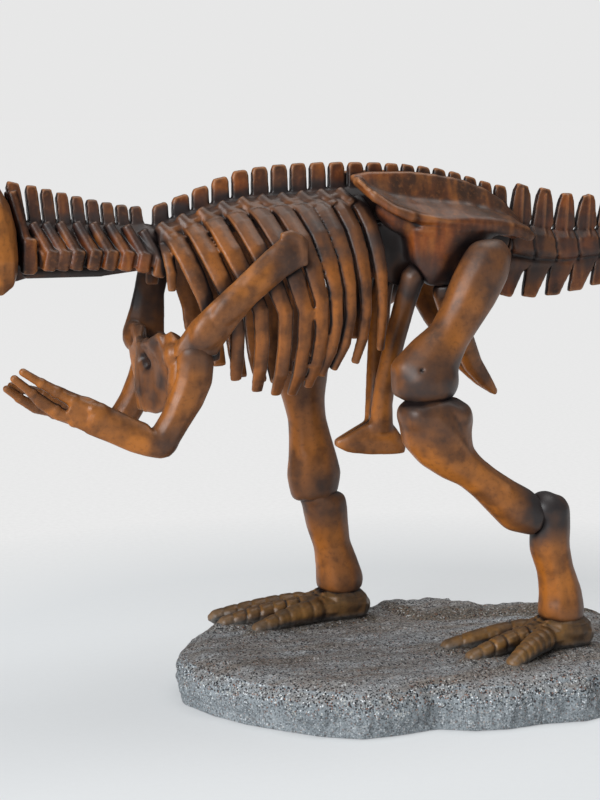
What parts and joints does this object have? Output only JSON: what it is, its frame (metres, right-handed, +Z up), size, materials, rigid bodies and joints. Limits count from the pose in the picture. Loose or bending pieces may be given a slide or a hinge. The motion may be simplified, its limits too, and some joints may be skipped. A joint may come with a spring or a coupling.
{
  "type": "dinosaur skeleton figurine",
  "caption": "Bronze-coloured cast resin figurine of a striding two-legged dinosaur skeleton with short two-fingered arms, level back and tail, standing on a rough speckled stone-look slab",
  "frame": {"origin": "on the underside of the slab, near its middle, under the animal's hips", "axes": "+Z up; the head points to -X and the tail to +X; the animal's left side faces -Y and its right side +Y"},
  "size_m": [0.6429, 0.1722, 0.2695],
  "materials": {
    "bronze_wash": "satin bronze paint with a dark wash in the hollows",
    "speckled_stone": "matt grey stone-fleck spray"
  },
  "bodies": {
    "root": {"base": "speckled_stone", "skull": "bronze_wash", "mandible": "bronze_wash", "neck": "bronze_wash", "trunk_spine": "bronze_wash", "ribs_left": "bronze_wash", "ribs_right": "bronze_wash", "sacrum": "bronze_wash", "tail_1": "bronze_wash", "tail_2": "bronze_wash", "tail_3": "bronze_wash", "tail_4": "bronze_wash", "ilium_left": "bronze_wash", "ilium_right": "bronze_wash", "pubis_left": "bronze_wash", "pubis_right": "bronze_wash", "ischium_left": "bronze_wash", "ischium_right": "bronze_wash", "scapula_left": "bronze_wash", "scapula_right": "bronze_wash", "humerus_left": "bronze_wash", "humerus_right": "bronze_wash", "forearm_left": "bronze_wash", "forearm_right": "bronze_wash", "hand_left": "bronze_wash", "hand_right": "bronze_wash", "femur_left": "bronze_wash", "femur_right": "bronze_wash", "tibia_left": "bronze_wash", "tibia_right": "bronze_wash", "metatarsus_left": "bronze_wash", "metatarsus_right": "bronze_wash", "foot_left": "bronze_wash", "foot_right": "bronze_wash"}
  },
  "joints": []
}
